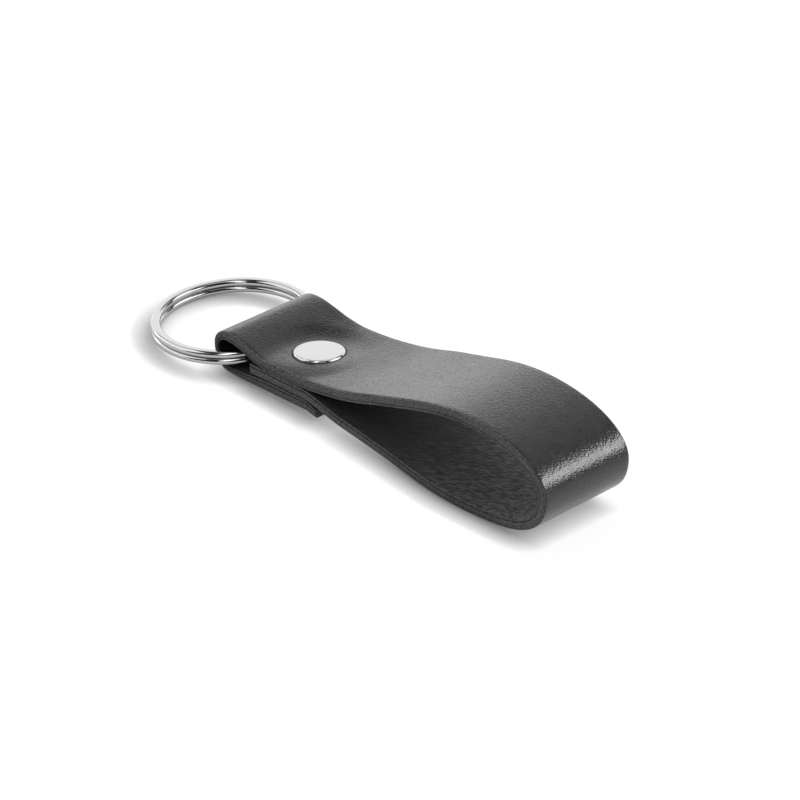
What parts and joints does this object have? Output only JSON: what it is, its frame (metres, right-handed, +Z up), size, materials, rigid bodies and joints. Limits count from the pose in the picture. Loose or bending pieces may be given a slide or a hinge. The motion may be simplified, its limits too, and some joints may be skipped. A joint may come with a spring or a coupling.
{
  "type": "loop keychain",
  "caption": "Leather strap folded into a long open loop, closed by a flat double-cap rivet, with a split ring held in the fold at its narrow end.",
  "frame": {"origin": "on the table, under the middle of the part's length and width", "axes": "+X along the strap from the split ring to the loop's round end, +Y across the strap, +Z up with the rivet's shown cap on top"},
  "size_m": [0.1056, 0.03, 0.0193],
  "materials": {
    "black_leather": "smooth full grain outside, fibrous inside, burnished edges",
    "ring_steel": "polished nickel plate",
    "rivet_metal": "polished nickel plate"
  },
  "bodies": {
    "strap": {"strap": "black_leather", "rivet_top_cap": "rivet_metal", "rivet_socket": "rivet_metal", "rivet_post": "rivet_metal", "rivet_bottom_cap": "rivet_metal"},
    "ring": {"split_ring": "ring_steel"}
  },
  "joints": [
    {"name": "ring_swing", "type": "hinge", "parent": "strap", "child": "ring", "pos_m": [-0.02477, 0, 0.004], "axis": [0, 1, 0], "range_deg": [-12, 22]}
  ]
}
